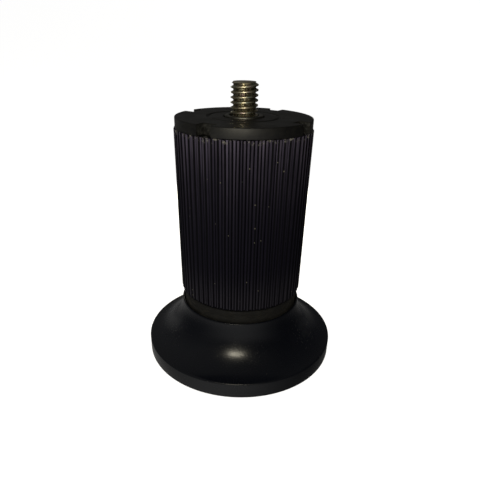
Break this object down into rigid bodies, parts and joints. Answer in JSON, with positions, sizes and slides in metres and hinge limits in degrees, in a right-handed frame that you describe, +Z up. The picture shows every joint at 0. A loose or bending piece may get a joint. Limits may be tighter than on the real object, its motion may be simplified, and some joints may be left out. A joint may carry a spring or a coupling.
{
  "type": "sprung levelling foot",
  "caption": "Round sprung levelling foot: ribbed rubber grip between a slotted cap with a threaded stud and a flared base, sinking and turning on the base.",
  "frame": {"origin": "centre of the underside, on the surface that the foot stands on", "axes": "+Z up along the stud, -Y towards the viewer of the picture; a cap slot's mid-line is 31.5 degrees to the left of -Y"},
  "size_m": [0.0482, 0.0482, 0.0655],
  "materials": {
    "base_gloss": "glossy bluish black moulding",
    "housing_plastic": "semi-gloss olive black moulding",
    "grip_rubber": "satin black rubber, 66 upright ribs",
    "pad_rubber": "matte black rubber",
    "soft_rubber": "matte soft rubber",
    "yellow_zinc": "yellow-passivated zinc",
    "plated_steel": "bright zinc",
    "spring_steel": "oiled spring steel",
    "grey_metal": "dull grey",
    "nylon": "natural nylon"
  },
  "bodies": {
    "base": {"base_shell": "base_gloss", "base_plate": "plated_steel", "base_screw_1": "plated_steel", "base_screw_2": "plated_steel", "base_screw_3": "plated_steel", "foot_pad": "pad_rubber", "lower_spring_seat": "nylon", "spring": "spring_steel"},
    "carrier": {"upper_spring_seat": "nylon", "bump_stop": "soft_rubber", "thrust_washer": "nylon"},
    "upper": {"housing_tube": "housing_plastic", "grip_sleeve": "grip_rubber", "top_cap": "housing_plastic", "top_plate": "plated_steel", "plate_screw_1": "plated_steel", "plate_screw_2": "plated_steel", "plate_screw_3": "plated_steel", "stud": "yellow_zinc", "stud_washer": "grey_metal", "glide_ring": "soft_rubber", "stop_washer": "nylon", "retaining_clip": "spring_steel"}
  },
  "joints": [
    {"name": "suspension", "type": "slide", "parent": "base", "child": "carrier", "axis": [0, 0, 1], "range_m": [-0.0024, 0], "stiffness_N_per_m": 11800, "springref_m": 0.0013, "deforming": ["spring"]},
    {"name": "swivel", "type": "hinge", "parent": "carrier", "child": "upper", "pos_m": [0, 0, 0.0494], "axis": [0, 0, 1], "continuous": true}
  ]
}
